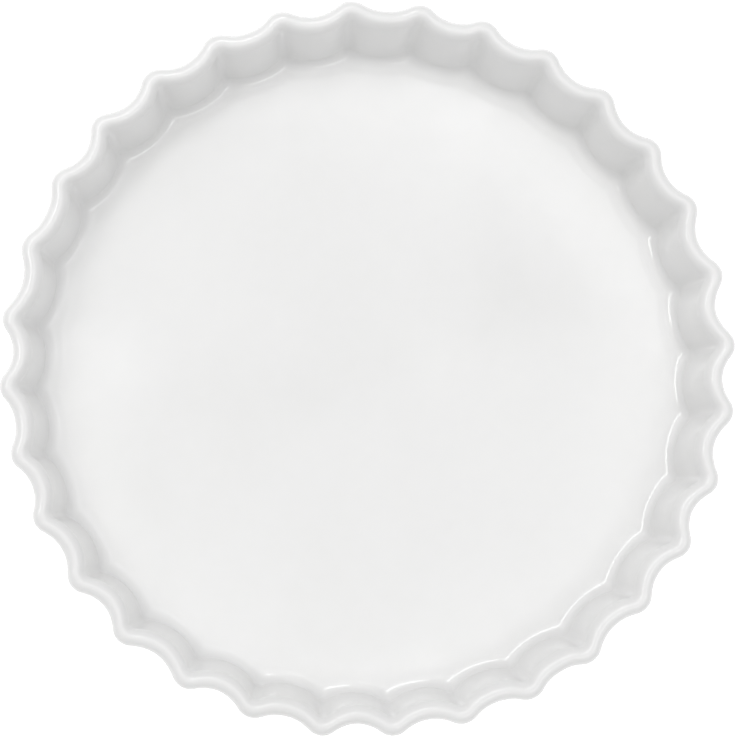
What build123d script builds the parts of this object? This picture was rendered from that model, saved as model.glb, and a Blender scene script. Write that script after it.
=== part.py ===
from build123d import *
import math
import os

# Round fluted quiche dish: one casting of white porcelain under a coat of white glaze.
# Frame: +Z up, origin on the table at the centre of the foot ring. Millimetres.

# ---- driving dimensions -------------------------------------------------------------------
flutes = 32              # scallops round the wall
height = 40.0            # table to the top of the lip
rim_tip = 140.0          # outermost radius, at the ridge of a flute
rim_valley = 135.45      # outermost radius in the hollow between two ridges
rim_nose = 7.4           # plan radius of the ridge, outside
lip_out = 3.5            # the lip's outer quarter: from the crest out to the outermost radius
lip_rise = 3.2           # and its height up to the crest
lip_in = 3.75            # the longer inner quarter: from the crest in
lip_fall = 6.2           # and its drop, easing down into the wall
inner_nose = 2.8         # plan radius of the groove inside a ridge, at the lip

base_under = 1.4         # glazed underside of the base above the table
floor_level = 6.2        # baking floor above the table
out_tip_base = 132.3     # outer wall carried down to the base plane: ridge
out_valley_base = 128.9  # and hollow
out_nose_base = 9.0      # plan radius of the ridge down there
in_tip_floor = 127.8     # inner wall carried down to the floor plane: groove
in_valley_floor = 124.4  # and bulge
in_nose_floor = 4.2      # plan radius of the groove down there
heel_radius = 5.0        # rounding between outer wall and base
tip_fillet = (9.0, 4.8)  # rounding of inner wall into floor, along and up, in a groove
valley_fillet = (6.8, 3.3)  # and between the grooves

foot_inner = 110.0       # unglazed foot ring, the only part that touches the table
foot_outer = 115.0
foot_edge = 0.7          # rounding on the ring's two edges

glaze = 0.35             # thickness of the glaze
seam = 0.001             # keeps each half flute a face of its own, far too fine to feel

outer_centre = height - lip_rise
inner_centre = height - lip_fall
lip_width = lip_out + lip_in
pitch_half = math.radians(180.0 / flutes)


# ---- plan shape of one level --------------------------------------------------------------
def hollow_radius(tip, valley, nose):
    """Radius of the hollow's arc that runs tangent into the ridge arcs on both sides."""
    a = tip - nose
    c = math.cos(pitch_half)
    return (a * a + valley * valley - 2 * a * valley * c - nose * nose) / (
        2 * nose - 2 * valley + 2 * a * c
    )


def handles(tip, valley, nose):
    """Handle lengths of the half-flute curve that give it the ridge's and hollow's radius."""
    hollow = hollow_radius(tip, valley, nose)
    c, s = math.cos(pitch_half), math.sin(pitch_half)
    a = b = 4.0
    for _ in range(200):
        drop = tip - (valley * c + b * s)
        rise = tip * c + a * s - valley
        a += 0.3 * (math.sqrt(nose * 2 * drop / 3) - a)
        b += 0.3 * (math.sqrt(hollow * 2 * rise / 3) - b)
    return a, b


def place(radius, angle, along):
    """Point at a radius and angle, moved along the tangent."""
    c, s = math.cos(angle), math.sin(angle)
    return (radius * c - along * s, radius * s + along * c)


def ring(tip, valley, a, b):
    """Closed outline: a rounded ridge, then a scooped hollow, for every flute."""
    for i in range(flutes):
        ridge = 2 * pitch_half * i
        hollow = ridge + pitch_half
        following = hollow + pitch_half
        Bezier(
            place(tip, ridge, 0),
            place(tip - seam, ridge, a),
            place(valley + seam, hollow, -b),
            place(valley, hollow, 0),
        )
        Bezier(
            place(valley, hollow, 0),
            place(valley + seam, hollow, b),
            place(tip - seam, following, -a),
            place(tip, following, 0),
        )


def fluted(z, tip, valley, nose):
    return (z, tip, valley) + handles(tip, valley, nose)


def round_ring(z, radius):
    handle = radius * 4 / 3 * math.tan(pitch_half / 4)
    return (z, radius, radius, handle, handle)


# ---- section profiles, as radius at a height ------------------------------------------------
def wall_slope(crest, half, drop, side, foot_z, foot_r):
    """Lean (radius gained per height) of the wall line that runs tangent into the lip's quarter."""
    zc, m = height - drop, 0.3
    for _ in range(40):
        m = (crest + side * math.hypot(half, m * drop) - foot_r) / (zc - foot_z)
    return m


def outer_radius(z, rim, base, g):
    """Heel, leaning wall, outer quarter of the lip; g is how far inside the glazed surface."""
    crest, a, b = rim - lip_out, lip_out - g, lip_rise - g
    m = wall_slope(crest, a, lip_rise, 1, base_under, base - g)
    if z > outer_centre - b * math.sin(math.atan(m * b / a)):
        return crest + a * math.sqrt(max(0.0, 1 - ((z - outer_centre) / b) ** 2))
    r = heel_radius - g
    zc = base_under + g + r
    lean = math.atan(m)
    z_tangent = zc - r * math.sin(lean)
    if z >= z_tangent:
        return base - g + m * (z - base_under)
    rc = base - g + m * (z_tangent - base_under) - r * math.cos(lean)
    return rc + math.sqrt(max(r * r - (zc - z) ** 2, 0.0))


def inner_radius(z, rim, base, g, fillet):
    """Inner quarter of the lip, leaning wall, fillet into the baking floor."""
    crest, a, b = rim - lip_out, lip_in - g, lip_fall - g
    m = wall_slope(crest, a, lip_fall, -1, floor_level, base + g)
    if z > inner_centre + b * math.sin(math.atan(m * b / a)):
        return crest - a * math.sqrt(max(0.0, 1 - ((z - inner_centre) / b) ** 2))
    along, up = fillet[0] + g, fillet[1] + g
    zc, reach = floor_level - g + up, math.hypot(along, m * up)
    if z >= zc - m * up * up / reach:
        return base + g + m * (z - floor_level)
    rc = base + g + m * (zc - floor_level) - reach
    return rc + along * math.sqrt(max(0.0, 1 - ((zc - z) / up) ** 2))


def outer_row(z, g):
    tip = outer_radius(z, rim_tip, out_tip_base, g)
    if z > outer_centre:
        nose = rim_nose - g + (inner_nose - rim_nose + 2 * g) * (rim_tip - tip) / lip_width
    else:
        down = (outer_centre - z) / (outer_centre - base_under)
        nose = rim_nose - g + (out_nose_base - rim_nose) * down
    return fluted(z, tip, outer_radius(z, rim_valley, out_valley_base, g), nose)


def inner_row(z, g):
    tip = inner_radius(z, rim_tip, in_tip_floor, g, tip_fillet)
    if z > inner_centre:
        share = max(0.0, tip - rim_tip + lip_width) / lip_width
        nose = inner_nose + g + (rim_nose - inner_nose - 2 * g) * share
    else:
        down = (inner_centre - z) / (inner_centre - floor_level)
        nose = inner_nose + g + (in_nose_floor - inner_nose) * down
    return fluted(z, tip, inner_radius(z, rim_valley, in_valley_floor, g, valley_fillet), nose)


def wall_surface(g):
    """Levels in order: heel, up the outside, over the lip, down the inside, fillet to floor."""
    heel, fillet = heel_radius - g, tip_fillet[1] + g
    rows = []
    for turn in (0, 20, 40, 60, 76):
        rows.append(outer_row(base_under + g + heel * (1 - math.cos(math.radians(turn))), g))
    for turn in (-16, 0, 27, 50, 71):
        rows.append(outer_row(outer_centre + (lip_rise - g) * math.sin(math.radians(turn)), g))
    for turn in (90, 74, 57, 40, 16):
        rows.append(inner_row(inner_centre + (lip_fall - g) * math.sin(math.radians(turn)), g))
    for turn in (74, 58, 43, 29, 15, 0):
        rows.append(inner_row(floor_level - g + fillet * (1 - math.cos(math.radians(turn))), g))
    return rows


# ---- the fired porcelain body ---------------------------------------------------------------
# from the flat of the bare foot ring out round its edge, to the heel, and over the wall
under_body = base_under + glaze
edge = foot_edge * (1 - math.sqrt(0.5))
foot_ring = [
    round_ring(0.0, foot_outer - foot_edge),
    round_ring(edge, foot_outer - edge),
    round_ring(foot_edge, foot_outer),
    round_ring(under_body, foot_outer),
]
with BuildPart() as ceramic_body:
    for z, tip, valley, a, b in foot_ring + wall_surface(glaze):
        with BuildSketch(Plane.XY.offset(z)):
            with BuildLine():
                ring(tip, valley, a, b)
            make_face()
    loft(ruled=True, clean=False)
    # the recess inside the foot ring, its mouth rounded like the ring's outer edge
    with BuildSketch(Plane.XZ):
        with BuildLine():
            Polyline(
                (foot_inner + foot_edge, 0),
                (0, 0),
                (0, under_body),
                (foot_inner, under_body),
                (foot_inner, foot_edge),
            )
            RadiusArc((foot_inner, foot_edge), (foot_inner + foot_edge, 0), -foot_edge)
        make_face()
    revolve(axis=Axis.Z, mode=Mode.SUBTRACT, clean=False)
ceramic_body.part.label = "ceramic_body"

# ---- the glaze over walls, lip and floor, inside and out -------------------------------------
# back along the body's surface from floor to foot ring, then out over the glazed surface
skin_back = list(reversed(wall_surface(glaze))) + [round_ring(under_body, foot_outer)]
skin_out = [round_ring(base_under, foot_outer)] + wall_surface(0.0)
with BuildPart() as glaze_coat:
    for z, tip, valley, a, b in skin_back + skin_out:
        with BuildSketch(Plane.XY.offset(z)):
            with BuildLine():
                ring(tip, valley, a, b)
            make_face()
    loft(ruled=True, clean=False)
glaze_coat.part.label = "glaze_coat"

# ---- the glaze on the recessed panel inside the foot ring, a separate patch ------------------
with BuildPart() as base_glaze:
    with BuildSketch(Plane.XY.offset(base_under)):
        Circle(foot_inner)
    extrude(amount=glaze)
base_glaze.part.label = "base_glaze"

os.makedirs("parts", exist_ok=True)
for piece in (ceramic_body, glaze_coat, base_glaze):
    export_step(piece.part, f"parts/{piece.part.label}.step")
    print(piece.part.label, len(piece.part.solids()), round(piece.part.volume), piece.part.is_valid)
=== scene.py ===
import math
import bpy
import numpy as np
from mathutils import Vector, Matrix


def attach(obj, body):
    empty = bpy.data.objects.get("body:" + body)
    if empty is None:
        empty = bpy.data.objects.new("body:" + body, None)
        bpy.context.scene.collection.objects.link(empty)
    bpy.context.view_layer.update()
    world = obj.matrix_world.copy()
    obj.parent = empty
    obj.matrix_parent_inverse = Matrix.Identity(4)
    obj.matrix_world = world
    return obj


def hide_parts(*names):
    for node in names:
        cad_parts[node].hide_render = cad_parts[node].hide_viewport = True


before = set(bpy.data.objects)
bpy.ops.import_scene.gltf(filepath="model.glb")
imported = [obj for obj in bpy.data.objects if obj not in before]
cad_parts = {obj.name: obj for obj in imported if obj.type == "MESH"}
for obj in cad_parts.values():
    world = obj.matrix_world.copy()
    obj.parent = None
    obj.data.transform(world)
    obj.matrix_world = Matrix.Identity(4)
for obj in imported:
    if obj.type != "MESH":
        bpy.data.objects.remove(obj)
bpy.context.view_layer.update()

# =================================================================================================
# Fluted quiche dish. Lengths in this section are millimetres, turned into metres when a mesh is made.
# =================================================================================================
FLUTES = 32
HALF = math.pi / FLUTES          # half a flute, from the ridge to the hollow beside it
HEIGHT = 40.0
RIM_TIP, RIM_VALLEY, RIM_NOSE = 140.0, 135.45, 7.4
LIP_OUT, LIP_RISE = 3.5, 3.2      # the lip's outer quarter: across the wall, and down from the crest
LIP_IN, LIP_FALL = 3.75, 6.2      # its longer inner quarter, easing down into the wall
INNER_NOSE = 2.8
BASE_UNDER, FLOOR = 1.4, 6.2
OUT_TIP_BASE, OUT_VALLEY_BASE, OUT_NOSE_BASE = 132.3, 128.9, 9.0
IN_TIP_FLOOR, IN_VALLEY_FLOOR, IN_NOSE_FLOOR = 127.8, 124.4, 4.2
HEEL = 5.0
TIP_FILLET = 9.0, 4.8             # wall into floor, along and up: wider where glaze pools in the grooves
VALLEY_FILLET = 6.8, 3.3
FOOT_IN, FOOT_OUT, FOOT_EDGE = 110.0, 115.0, 0.7
GLAZE = 0.35

MM = 0.001
rng = np.random.default_rng(3217)


# ---- plan outline of one level --------------------------------------------------------------------
def flute_radius(theta, tip, valley, nose):
    """Radius of the fluted outline at each azimuth: ridge arcs running tangent into hollow arcs."""
    phi = np.abs((theta + HALF) % (2 * HALF) - HALF)
    a, c = tip - nose, math.cos(HALF)
    scoop = (a * a + valley * valley - 2 * a * valley * c - nose * nose) / (
        2 * nose - 2 * valley + 2 * a * c
    )
    b = valley + scoop
    vx, vy = b * c - a, b * math.sin(HALF)
    share = nose / (nose + scoop)
    joint = math.atan2(vy * share, a + vx * share)
    ridge = a * np.cos(phi) + np.sqrt(np.maximum(nose**2 - (a * np.sin(phi)) ** 2, 0))
    psi = HALF - phi
    hollow = b * np.cos(psi) - np.sqrt(np.maximum(scoop**2 - (b * np.sin(psi)) ** 2, 0))
    return np.where(phi < joint, ridge, hollow)


# ---- azimuths of the mesh columns: closer together on the ridges -----------------------------------
COLUMNS_HALF = 12
_t = np.arange(COLUMNS_HALF) / COLUMNS_HALF
_half = HALF * (0.72 * _t + 0.28 * _t**2)
_one = np.concatenate([_half, 2 * HALF - np.concatenate([[HALF], _half[:0:-1]])])
THETA = np.concatenate([_one + 2 * HALF * k for k in range(FLUTES)])
COLS = len(THETA)


# ---- small unevenness of a pressed and fired dish ---------------------------------------------------
def smooth_random(values, theta):
    """Values at evenly spaced azimuths, joined smoothly round the dish."""
    n = len(values)
    u = (theta / (2 * math.pi) * n) % n
    i = np.floor(u).astype(int) % n
    f = u - np.floor(u)
    f = f * f * (3 - 2 * f)
    return values[i] * (1 - f) + values[(i + 1) % n] * f


# how far each ridge and each hollow of this dish sits out of true at the rim, and how far each ridge
# has turned out of its even place, in degrees; the pressing and firing leave no two flutes alike
RIDGE_OFF = (
    0.09, 0.01, 0.24, 0.12, 0.13, 0.28, 0.32, 0.45, 0.45, -0.02, -0.57, -0.21, 0.05, -0.59, -0.85, -0.19,
    -0.13, -0.45, -0.25, 0.04, 0.72, 0.66, 0.39, 0.99, 0.08, -0.05, 0.21, 0.06, -0.53, -0.13, -0.13, -0.11,
)
HOLLOW_OFF = (
    -1.21, -0.59, 0.18, -0.11, 0.13, 0.50, 0.77, 1.10, 0.17, 0.18, -0.65, -0.19, -0.66, -0.13, -0.45, -0.59,
    0.09, -0.12, -0.09, -0.13, 0.18, 0.13, 0.79, -0.01, 0.16, 0.60, 1.03, -0.12, -0.46, -0.88, -0.74, -0.54,
)
RIDGE_TURN = (
    -0.23, 0.09, 0.51, 0.31, 0.33, 0.32, 0.11, -0.58, -0.37, -0.11, -0.22, 0.07, 0.02, -0.20, 0.14, 0.85,
    0.45, 0.26, -0.33, -0.42, -0.63, -0.03, -0.10, 0.00, -0.05, -0.02, 0.01, -0.37, 0.08, 0.06, -0.06, 0.18,
)
LIFT = rng.normal(0, 0.06, FLUTES)            # the rim rises and falls a little
_mix = np.empty(2 * FLUTES)
_mix[0::2], _mix[1::2] = RIDGE_OFF, HOLLOW_OFF
_turn = np.empty(2 * FLUTES)
_turn[0::2] = RIDGE_TURN
_turn[1::2] = (_turn[0::2] + np.roll(_turn[0::2], -1)) / 2


def uneven(theta, z):
    """Radial, vertical and turning shift of the wall at an azimuth and height."""
    rise = np.clip((z - BASE_UNDER - 1.0) / (HEIGHT - BASE_UNDER - 3.5), 0, 1)
    radial = smooth_random(_mix, theta)
    vertical = smooth_random(LIFT, theta) + 0.08 * np.cos(2 * theta + 0.7) + 0.05 * np.cos(3 * theta - 1.9) - 0.1
    turn = np.radians(smooth_random(_turn, theta))
    return radial * rise**1.2, vertical * rise**2, turn * rise


# ---- profile of the glazed surface, or of the body under it ------------------------------------------
def wall_slope(crest, half, drop, side, foot_z, foot_r):
    """Lean (radius gained per height) of the wall line that runs tangent into the lip's quarter."""
    zc, m = HEIGHT - drop, 0.3
    for _ in range(40):
        m = (crest + side * math.hypot(half, m * drop) - foot_r) / (zc - foot_z)
    return m


def outside(z, rim, base, g):
    """Outer radius at a height: heel, straight leaning wall, outer quarter of the lip."""
    crest, a, b = rim - LIP_OUT, LIP_OUT - g, LIP_RISE - g
    zc = HEIGHT - LIP_RISE
    m = wall_slope(crest, a, LIP_RISE, 1, BASE_UNDER, base - g)
    zj = zc - b * math.sin(math.atan(m * b / a))
    if z > zj:
        return crest + a * math.sqrt(max(0.0, 1 - ((z - zc) / b) ** 2))
    r = HEEL - g
    zh = BASE_UNDER + g + r
    lean = math.atan(m)
    zt = zh - r * math.sin(lean)
    if z >= zt:
        return base - g + m * (z - BASE_UNDER)
    rc = base - g + m * (zt - BASE_UNDER) - r * math.cos(lean)
    return rc + math.sqrt(max(r * r - (zh - z) ** 2, 0.0))


def inside(z, rim, base, g, fillet):
    """Inner radius at a height: inner quarter of the lip, leaning wall, fillet to the floor."""
    crest, a, b = rim - LIP_OUT, LIP_IN - g, LIP_FALL - g
    zc = HEIGHT - LIP_FALL
    m = wall_slope(crest, a, LIP_FALL, -1, FLOOR, base + g)
    zj = zc + b * math.sin(math.atan(m * b / a))
    if z > zj:
        return crest - a * math.sqrt(max(0.0, 1 - ((z - zc) / b) ** 2))
    along, up = fillet[0] + g, fillet[1] + g
    zf, reach = FLOOR - g + up, math.hypot(along, m * up)
    if z >= zf - m * up * up / reach:
        return base + g + m * (z - FLOOR)
    rc = base + g + m * (zf - FLOOR) - reach
    return rc + along * math.sqrt(max(0.0, 1 - ((zf - z) / up) ** 2))


def wall_levels(g, fine=1):
    """Rows (z, tip, valley, nose): heel, outer wall, lip, inner wall, fillet; g below the glaze."""
    rows = []
    width = LIP_OUT + LIP_IN
    z_out, z_in = HEIGHT - LIP_RISE, HEIGHT - LIP_FALL

    def out_row(z):
        tip = outside(z, RIM_TIP, OUT_TIP_BASE, g)
        if z > z_out:
            nose = RIM_NOSE - g + (INNER_NOSE - RIM_NOSE + 2 * g) * (RIM_TIP - tip) / width
        else:
            nose = OUT_NOSE_BASE + (RIM_NOSE - OUT_NOSE_BASE) * (z - BASE_UNDER) / (z_out - BASE_UNDER) - g
        rows.append((z, tip, outside(z, RIM_VALLEY, OUT_VALLEY_BASE, g), nose))

    def in_row(z):
        tip = inside(z, RIM_TIP, IN_TIP_FLOOR, g, TIP_FILLET)
        if z > z_in:
            nose = INNER_NOSE + g + (RIM_NOSE - INNER_NOSE - 2 * g) * max(0.0, tip - RIM_TIP + width) / width
        else:
            nose = INNER_NOSE + (IN_NOSE_FLOOR - INNER_NOSE) * (z_in - z) / (z_in - FLOOR) + g
        rows.append((z, tip, inside(z, RIM_VALLEY, IN_VALLEY_FLOOR, g, VALLEY_FILLET), nose))

    heel = HEEL - g
    n = max(5, 9 // fine)
    for k in range(n):
        out_row(BASE_UNDER + g + heel * (1 - math.cos(math.radians(76.0 * k / (n - 1)))))
    z0, z1 = rows[-1][0], z_out - (LIP_RISE - g) * math.sin(math.radians(24))
    n = max(3, 7 // fine)
    for k in range(1, n):
        out_row(z0 + (z1 - z0) * k / n)
    n = max(6, 14 // fine)
    for k in range(n):
        out_row(z_out + (LIP_RISE - g) * math.sin(math.radians(-24 + 114.0 * k / (n - 1))))
    n = max(6, 17 // fine)
    for k in range(1, n):
        in_row(z_in + (LIP_FALL - g) * math.sin(math.radians(90 - 88.0 * k / (n - 1))))
    z1 = rows[-1][0]
    fr = TIP_FILLET[1] + g
    z2 = FLOOR - g + fr * (1 - math.cos(math.radians(78)))
    n = max(3, 7 // fine)
    for k in range(1, n):
        in_row(z1 + (z2 - z1) * k / n)
    n = max(7, 16 // fine)
    for k in range(n):
        in_row(FLOOR - g + fr * (1 - math.cos(math.radians(78.0 * (1 - k / (n - 1))))))
    return rows


# ---- mesh building ------------------------------------------------------------------------------------
class Skin:
    """A surface of revolution-like rings, joined in order, closed over the axis at either end."""

    def __init__(self):
        self.points, self.faces, self.last = [], [], None
        self.count = 0

    def ring(self, x, y, z):
        ids = np.arange(self.count, self.count + len(x))
        self.points.append(np.column_stack([x, y, z]))
        self.count += len(x)
        if self.last is not None:
            a, b = self.last, ids
            if len(a) == len(b):
                self.faces.append(np.column_stack([a, np.roll(a, -1), np.roll(b, -1), b]))
            else:
                flip = len(a) < len(b)
                o, i = (b, a) if flip else (a, b)   # o has twice as many points as i
                o0, o1, o2 = o[0::2], o[1::2], np.roll(o, -2)[0::2]
                i0, i1 = i, np.roll(i, -1)
                tris = np.concatenate([
                    np.column_stack([o0, o1, i0]),
                    np.column_stack([o1, i1, i0]),
                    np.column_stack([o1, o2, i1]),
                ])
                self.faces.append(tris[:, ::-1] if flip else tris)
        self.last = ids
        return ids

    def cap(self, z, outward=True):
        """Close the last ring with a single point on the axis."""
        a = self.last
        self.points.append(np.array([[0.0, 0.0, z]]))
        c = self.count
        self.count += 1
        self.faces.append(np.column_stack([a, np.roll(a, -1), np.full(len(a), c)]))

    def start_cap(self, z):
        self.points.append(np.array([[0.0, 0.0, z]]))
        self._apex = self.count
        self.count += 1

    def close_start(self, ids):
        self.faces.append(np.column_stack([np.roll(ids, -1), ids, np.full(len(ids), self._apex)]))

    def mesh(self, name):
        pts = np.concatenate(self.points) * MM
        me = bpy.data.meshes.new(name)
        loops = np.concatenate([f.ravel() for f in self.faces])
        sizes = np.concatenate([np.full(len(f), f.shape[1]) for f in self.faces])
        starts = np.concatenate([[0], np.cumsum(sizes)[:-1]])
        me.vertices.add(len(pts))
        me.vertices.foreach_set("co", pts.ravel())
        me.loops.add(len(loops))
        me.loops.foreach_set("vertex_index", loops.astype(np.int32))
        me.polygons.add(len(sizes))
        me.polygons.foreach_set("loop_start", starts.astype(np.int32))
        me.update(calc_edges=True)
        me.validate()
        me.polygons.foreach_set("use_smooth", np.ones(len(me.polygons), dtype=bool))
        me.update()
        return me


def fluted_ring(skin, row, shift=0.0):
    z, tip, valley, nose = row
    r = flute_radius(THETA, tip, valley, nose)
    dr, dz, turn = uneven(THETA, np.full(COLS, z))
    r = r + dr + shift
    skin.ring(r * np.cos(THETA + turn), r * np.sin(THETA + turn), z + dz)


def floor_height(r):
    """The baking floor sags a little towards the middle, as fired dishes do."""
    u = np.clip(r / 122.0, 0, 1)
    return -0.16 * (1 - u**2) ** 1.5


FLOOR_STEPS = (
    (0.992, 1), (0.98, 1), (0.965, 1), (0.945, 1), (0.92, 1), (0.89, 1), (0.85, 2), (0.80, 2), (0.74, 2),
    (0.67, 2), (0.58, 4), (0.50, 4), (0.41, 4), (0.33, 8), (0.26, 8), (0.19, 16), (0.13, 16), (0.08, 32), (0.04, 64),
)


def floor_rings(skin, z, edge, sag=1.0, inward=True):
    """Rings over the floor disc, from the fillet's last outline in to the axis or back out."""
    steps = FLOOR_STEPS if inward else FLOOR_STEPS[::-1]
    first = None
    for s, thin in steps:
        th = THETA[::thin]
        fade = max(0.0, (s - 0.8) / 0.2)
        base = edge[::thin]
        mean = edge.mean()
        r = s * (mean + (base - mean) * fade)
        ids = skin.ring(r * np.cos(th), r * np.sin(th), z + sag * floor_height(r))
        first = ids if first is None else first
    return first


def round_rings(skin, path, thin=1):
    for z, r in path:
        th = THETA[::thin]
        skin.ring(r * np.cos(th), r * np.sin(th), np.full(len(th), z))


def disc_rings(skin, z, radius, inward=True, dish=0.0):
    first = None
    steps = FLOOR_STEPS if inward else FLOOR_STEPS[::-1]
    for s, thin in steps:
        th = THETA[::thin]
        r = radius * s
        ids = skin.ring(r * np.cos(th), r * np.sin(th), np.full(len(th), z + dish * (1 - s * s) ** 1.5))
        first = ids if first is None else first
    return first


def finish_piece(name, skin, node, material):
    me = skin.mesh(name)
    ob = bpy.data.objects.new(name, me)
    bpy.context.scene.collection.objects.link(ob)
    me.materials.append(material)
    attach(ob, "root")
    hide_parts(node)
    return ob


# =================================================================================================
# Materials
# =================================================================================================
def new_material(name):
    m = bpy.data.materials.new(name)
    m.use_nodes = True
    nt = m.node_tree
    for n in list(nt.nodes):
        nt.nodes.remove(n)
    out = nt.nodes.new("ShaderNodeOutputMaterial")
    bsdf = nt.nodes.new("ShaderNodeBsdfPrincipled")
    nt.links.new(bsdf.outputs["BSDF"], out.inputs["Surface"])
    return m, nt, bsdf


def noise(nt, coords, scale, detail=2.0, rough=0.5):
    n = nt.nodes.new("ShaderNodeTexNoise")
    n.inputs["Scale"].default_value = scale
    n.inputs["Detail"].default_value = detail
    n.inputs["Roughness"].default_value = rough
    nt.links.new(coords, n.inputs["Vector"])
    return n.outputs["Fac"]


def ramp(nt, fac, stops):
    r = nt.nodes.new("ShaderNodeValToRGB")
    while len(r.color_ramp.elements) < len(stops):
        r.color_ramp.elements.new(0.5)
    for e, (pos, col) in zip(r.color_ramp.elements, stops):
        e.position = pos
        e.color = (*col, 1.0)
    nt.links.new(fac, r.inputs["Fac"])
    return r.outputs["Color"]


def math_node(nt, op, a, b):
    n = nt.nodes.new("ShaderNodeMath")
    n.operation = op
    for k, v in enumerate((a, b)):
        if isinstance(v, (int, float)):
            n.inputs[k].default_value = v
        else:
            nt.links.new(v, n.inputs[k])
    return n.outputs[0]


def bump(nt, height, strength, distance, normal=None):
    b = nt.nodes.new("ShaderNodeBump")
    b.inputs["Strength"].default_value = strength
    b.inputs["Distance"].default_value = distance
    nt.links.new(height, b.inputs["Height"])
    if normal is not None:
        nt.links.new(normal, b.inputs["Normal"])
    return b.outputs["Normal"]


def glaze_material(name, tint=1.0):
    m, nt, bsdf = new_material(name)
    coords = nt.nodes.new("ShaderNodeTexCoord").outputs["Object"]
    # barely visible drift of the white, as the glaze lies thicker and thinner
    drift = noise(nt, coords, 14.0, 3.0, 0.55)
    fine = noise(nt, coords, 160.0, 2.0, 0.5)
    mixed = math_node(nt, "ADD", math_node(nt, "MULTIPLY", drift, 0.8), math_node(nt, "MULTIPLY", fine, 0.2))
    w = 0.925 * tint
    colour = ramp(nt, mixed, (
        (0.36, (w * 0.985, w * 0.985, w * 0.981)),
        (0.52, (w, w, w * 0.999)),
        (0.66, (min(1, w * 1.012), min(1, w * 1.012), min(1, w * 1.010))),
    ))
    nt.links.new(colour, bsdf.inputs["Base Color"])
    gloss = noise(nt, coords, 45.0, 3.0, 0.6)
    rough = nt.nodes.new("ShaderNodeMapRange")
    rough.inputs["From Min"].default_value = 0.3
    rough.inputs["From Max"].default_value = 0.7
    rough.inputs["To Min"].default_value = 0.07
    rough.inputs["To Max"].default_value = 0.12
    nt.links.new(gloss, rough.inputs["Value"])
    nt.links.new(rough.outputs["Result"], bsdf.inputs["Roughness"])
    bsdf.inputs["IOR"].default_value = 1.6
    # glaze never lies quite flat: long slow waves and a faint peel over them
    waves = noise(nt, coords, 38.0, 1.0, 0.4)
    peel = noise(nt, coords, 210.0, 2.0, 0.5)
    n1 = bump(nt, waves, 1.0, 0.00012)
    n2 = bump(nt, peel, 1.0, 0.000012, n1)
    nt.links.new(n2, bsdf.inputs["Normal"])
    return m


def bisque_material(name):
    m, nt, bsdf = new_material(name)
    coords = nt.nodes.new("ShaderNodeTexCoord").outputs["Object"]
    grain = noise(nt, coords, 900.0, 4.0, 0.6)
    patch = noise(nt, coords, 30.0, 3.0, 0.5)
    mixed = math_node(nt, "ADD", math_node(nt, "MULTIPLY", grain, 0.45), math_node(nt, "MULTIPLY", patch, 0.55))
    colour = ramp(nt, mixed, (
        (0.35, (0.66, 0.63, 0.575)),
        (0.50, (0.745, 0.72, 0.67)),
        (0.66, (0.79, 0.77, 0.73)),
    ))
    nt.links.new(colour, bsdf.inputs["Base Color"])
    bsdf.inputs["Roughness"].default_value = 0.85
    bsdf.inputs["Specular IOR Level"].default_value = 0.25
    n1 = bump(nt, grain, 0.6, 0.00008)
    nt.links.new(n1, bsdf.inputs["Normal"])
    return m


glaze_white = glaze_material("glaze_white")
glaze_under = glaze_material("glaze_white_base", 0.985)
bisque = bisque_material("bare_porcelain")

# =================================================================================================
# Pieces
# =================================================================================================
# ---- glaze over walls, lip, floor and outside, from its wavering edge on the foot ring -------------
skin = Skin()
front, back = wall_levels(0.0), wall_levels(GLAZE, fine=3)
wave = 0.10 * np.sin(5 * THETA + 0.6) + 0.07 * np.sin(13 * THETA + 2.0) + 0.05 * np.sin(29 * THETA + 4.1)


def glaze_edge(skin):
    """The rounded edge of the glaze where it ends on the foot ring's outer flank."""
    for t, dr, dz in ((0, 0.0, 0.0), (1, 0.06, -0.10), (2, 0.16, -0.12), (3, 0.28, -0.06), (4, 0.42, 0.0), (5, 0.75, 0.02)):
        th = THETA
        lower = np.clip(0.45 + wave, 0.2, 0.7)
        fall = np.array([1.0, 1.0, 0.9, 0.62, 0.34, 0.05])[t]
        r = FOOT_OUT + 0.002 + dr
        skin.ring(r * np.cos(th), r * np.sin(th), BASE_UNDER - lower * fall * 0.9 + (dz if t else 0.0))


# back skin first, from the floor's middle out and over to the foot ring, then the edge, then the front
skin.start_cap(FLOOR - GLAZE + float(floor_height(np.array([0.0]))[0]))
edge_back = flute_radius(THETA, back[-1][1], back[-1][2], back[-1][3])
first = floor_rings(skin, FLOOR - GLAZE, edge_back, inward=False)
skin.close_start(first)
for row in reversed(back):
    fluted_ring(skin, row)
heel_in = flute_radius(THETA, back[0][1], back[0][2], back[0][3])
for s in (0.5,):
    r = FOOT_OUT + (heel_in - FOOT_OUT) * s
    skin.ring(r * np.cos(THETA), r * np.sin(THETA), np.full(COLS, BASE_UNDER + GLAZE))
skin.ring((FOOT_OUT + 0.002) * np.cos(THETA), (FOOT_OUT + 0.002) * np.sin(THETA), np.full(COLS, BASE_UNDER + GLAZE))
glaze_edge(skin)
heel_out = flute_radius(THETA, front[0][1], front[0][2], front[0][3])
for s in (0.33, 0.67):
    r = FOOT_OUT + (heel_out - FOOT_OUT) * s
    skin.ring(r * np.cos(THETA), r * np.sin(THETA), np.full(COLS, BASE_UNDER))
for row in front:
    fluted_ring(skin, row)
edge_front = flute_radius(THETA, front[-1][1], front[-1][2], front[-1][3])
floor_rings(skin, FLOOR, edge_front)
skin.cap(FLOOR + float(floor_height(np.array([0.0]))[0]))
glaze_piece = finish_piece("glaze_skin", skin, "glaze_coat", glaze_white)

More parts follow.
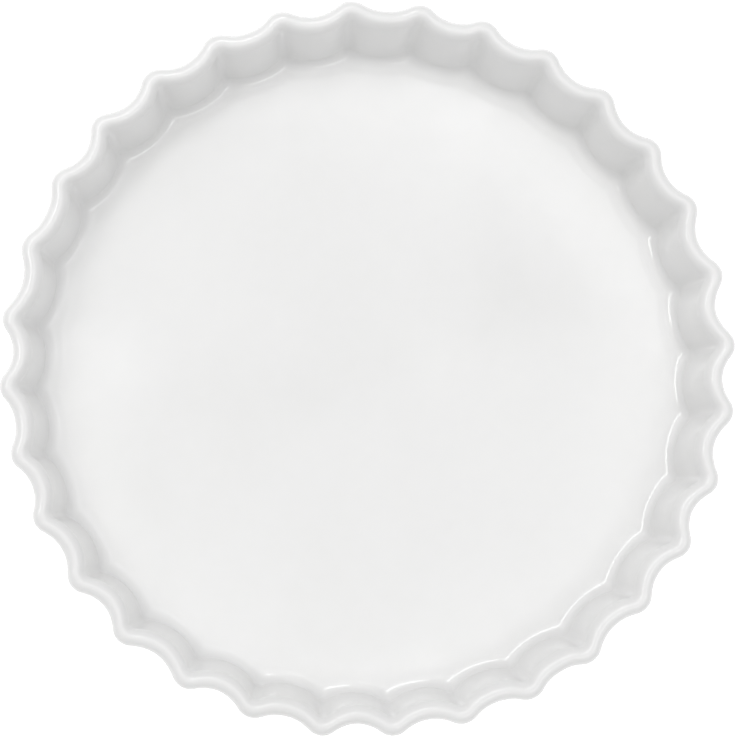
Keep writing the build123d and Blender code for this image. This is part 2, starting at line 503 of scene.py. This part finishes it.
# ---- porcelain body, seen only at the bare foot ring ------------------------------------------------
skin = Skin()
body_rows = wall_levels(GLAZE + 0.02, fine=2)
skin.start_cap(BASE_UNDER + GLAZE)
first = disc_rings(skin, BASE_UNDER + GLAZE, FOOT_IN, inward=False)
skin.close_start(first)
e = FOOT_EDGE
ring_path = [(BASE_UNDER + GLAZE, FOOT_IN)]
for k in range(7):
    t = math.pi / 2 * k / 6
    ring_path.append((e * (1 - math.sin(t)), FOOT_IN + e * (1 - math.cos(t))))
for k in range(1, 6):
    ring_path.append((0.0, FOOT_IN + e + (FOOT_OUT - FOOT_IN - 2 * e) * k / 6))
for k in range(7):
    t = math.pi / 2 * k / 6
    ring_path.append((e * (1 - math.cos(t)), FOOT_OUT - e * (1 - math.sin(t))))
ring_path.append((BASE_UNDER + GLAZE + 0.02, FOOT_OUT))
round_rings(skin, ring_path)
for row in body_rows:
    fluted_ring(skin, row)
edge_body = flute_radius(THETA, body_rows[-1][1], body_rows[-1][2], body_rows[-1][3])
floor_rings(skin, FLOOR - GLAZE - 0.02, edge_body)
skin.cap(FLOOR - GLAZE - 0.02 + float(floor_height(np.array([0.0]))[0]))
body_piece = finish_piece("porcelain_body", skin, "ceramic_body", bisque)

# ---- glaze patch inside the foot ring -----------------------------------------------------------------
skin = Skin()
inner_wave = 0.05 * np.sin(4 * THETA + 1.0) + 0.04 * np.sin(11 * THETA) + 0.03 * np.sin(23 * THETA + 2.2)
skin.start_cap(BASE_UNDER + GLAZE - 0.01)
first = disc_rings(skin, BASE_UNDER + GLAZE - 0.01, FOOT_IN - 0.05, inward=False)
skin.close_start(first)
for dr, fall in ((0.004, 0.0), (0.004, 1.0), (0.08, 1.12), (0.22, 0.80), (0.45, 0.42), (0.9, 0.12), (1.6, 0.0)):
    r = FOOT_IN - dr
    z = BASE_UNDER + 0.02 - fall * np.clip(0.30 + inner_wave, 0.12, 0.5)
    if dr == 0.004 and fall == 0.0:
        z = np.full(COLS, BASE_UNDER + GLAZE - 0.01)
    skin.ring(r * np.cos(THETA), r * np.sin(THETA), z)
disc_rings(skin, BASE_UNDER + 0.02, FOOT_IN - 1.6, dish=-0.05)
skin.cap(BASE_UNDER + 0.02 - 0.05)
base_piece = finish_piece("base_glaze_patch", skin, "base_glaze", glaze_under)

# =================================================================================================
# Floor, camera, light
# =================================================================================================
me = bpy.data.meshes.new("studio_floor")
S = 3.0
me.from_pydata([(-S, -S, 0), (S, -S, 0), (S, S, 0), (-S, S, 0)], [], [(0, 1, 2, 3)])
floor = bpy.data.objects.new("studio_floor", me)
bpy.context.scene.collection.objects.link(floor)
m, nt, bsdf = new_material("floor_white")
coords = nt.nodes.new("ShaderNodeTexCoord").outputs["Object"]
col = ramp(nt, noise(nt, coords, 3.0, 2.0), ((0.3, (0.93, 0.93, 0.93)), (0.7, (0.95, 0.95, 0.95))))
nt.links.new(col, bsdf.inputs["Base Color"])
bsdf.inputs["Roughness"].default_value = 0.9
bsdf.inputs["Specular IOR Level"].default_value = 0.1
bsdf.inputs["Emission Color"].default_value = (1, 1, 1, 1)
bsdf.inputs["Emission Strength"].default_value = 0.41
me.materials.append(m)

TURN = 3.59                      # how far the picture is turned from the dish's own azimuths, degrees


def at(azimuth, elevation, distance, centre=(0, 0, 0.02)):
    """A place seen from the dish at an azimuth counted in the picture, from its right side."""
    a, e = math.radians(azimuth - TURN), math.radians(elevation)
    return Vector(centre) + distance * Vector((math.cos(e) * math.cos(a), math.cos(e) * math.sin(a), math.sin(e)))


cam = bpy.data.cameras.new("camera")
cam.sensor_width = 36.0
cam.lens = 116.14
cam_ob = bpy.data.objects.new("camera", cam)
bpy.context.scene.collection.objects.link(cam_ob)
VIEW = 240.0                     # picture azimuth the camera leans to, and its lean from overhead
LEAN = 6.8
a = math.radians(VIEW - TURN)
aim = Vector((0.0021 * math.cos(a), 0.0021 * math.sin(a), 0.0375))
spot = at(VIEW, 90.0 - LEAN, 0.900, aim)
forward = (aim - spot).normalized()
a = math.radians(90.0 - TURN)
up = Vector((math.cos(a), math.sin(a), 0.0))
right = forward.cross(up).normalized()
up = right.cross(forward).normalized()
cam_ob.matrix_world = Matrix((
    (right.x, up.x, -forward.x, spot.x),
    (right.y, up.y, -forward.y, spot.y),
    (right.z, up.z, -forward.z, spot.z),
    (0, 0, 0, 1),
))
bpy.context.scene.camera = cam_ob


def softbox(name, azimuth, elevation, distance, width, tall, glow, colour=(1, 1, 1)):
    """A soft panel facing the dish; glow is its brightness, one being a white wall in full light."""
    li = bpy.data.lights.new(name, "AREA")
    li.shape = "RECTANGLE"
    li.size, li.size_y = width, tall
    li.energy = glow * math.pi * width * tall
    li.color = colour
    ob = bpy.data.objects.new(name, li)
    bpy.context.scene.collection.objects.link(ob)
    ob.location = at(azimuth, elevation, distance)
    ob.rotation_euler = (Vector((0, 0, 0.02)) - ob.location).to_track_quat("-Z", "Y").to_euler()
    return ob


softbox("key_strip", 135, 63, 1.5, 1.5, 0.22, 4.15)
softbox("key_broad", 135, 47, 1.5, 0.77, 0.46, 1.00)
softbox("key_low", 135, 30, 1.5, 1.0, 0.46, 0.30)
softbox("key_wing", 90, 48, 1.5, 0.77, 0.46, 0.42)
softbox("fill_strip", 318, 60, 1.5, 0.9, 0.16, 2.6)
softbox("fill_broad", 316, 48, 1.5, 0.77, 0.46, 0.13)
softbox("fill_low", 318, 38, 1.5, 0.8, 0.26, 0.24)
softbox("fill_wing_right", 0, 48, 1.5, 0.77, 0.46, 0.47)
softbox("fill_wing_left", 270, 48, 1.5, 0.77, 0.46, 0.28)
softbox("far_edge", 60, 74.5, 1.5, 0.90, 0.12, 0.30)
# the overhead silk, brighter on the key's side; dim and a trace warmer by the photographer
for k, glow in enumerate((0.91, 0.98, 1.00, 0.31, 0.61, 0.39, 0.52, 0.70)):
    tone = (1.0, 0.97, 0.87) if k in (4, 5) else (1.0, 1.0, 1.0)
    softbox(f"silk_outer_{k}", 45 * k, 66, 1.5, 0.47, 0.46, glow, tone)
for k, glow in enumerate((0.72, 0.65, 0.92, 0.97)):
    softbox(f"silk_inner_{k}", 90 * k, 80, 1.5, 0.40, 0.257, glow)
softbox("silk_middle", 0, 89.9, 1.5, 0.24, 0.24, 0.77)

world = bpy.data.worlds.new("studio")
bpy.context.scene.world = world
world.use_nodes = True
bg = world.node_tree.nodes["Background"]
bg.inputs["Color"].default_value = (1.0, 1.0, 1.0, 1)
bg.inputs["Strength"].default_value = 0.412

sc = bpy.context.scene
sc.view_settings.view_transform = "Standard"
sc.view_settings.look = "None"
sc.view_settings.exposure = 0.0
sc.view_settings.gamma = 1.0
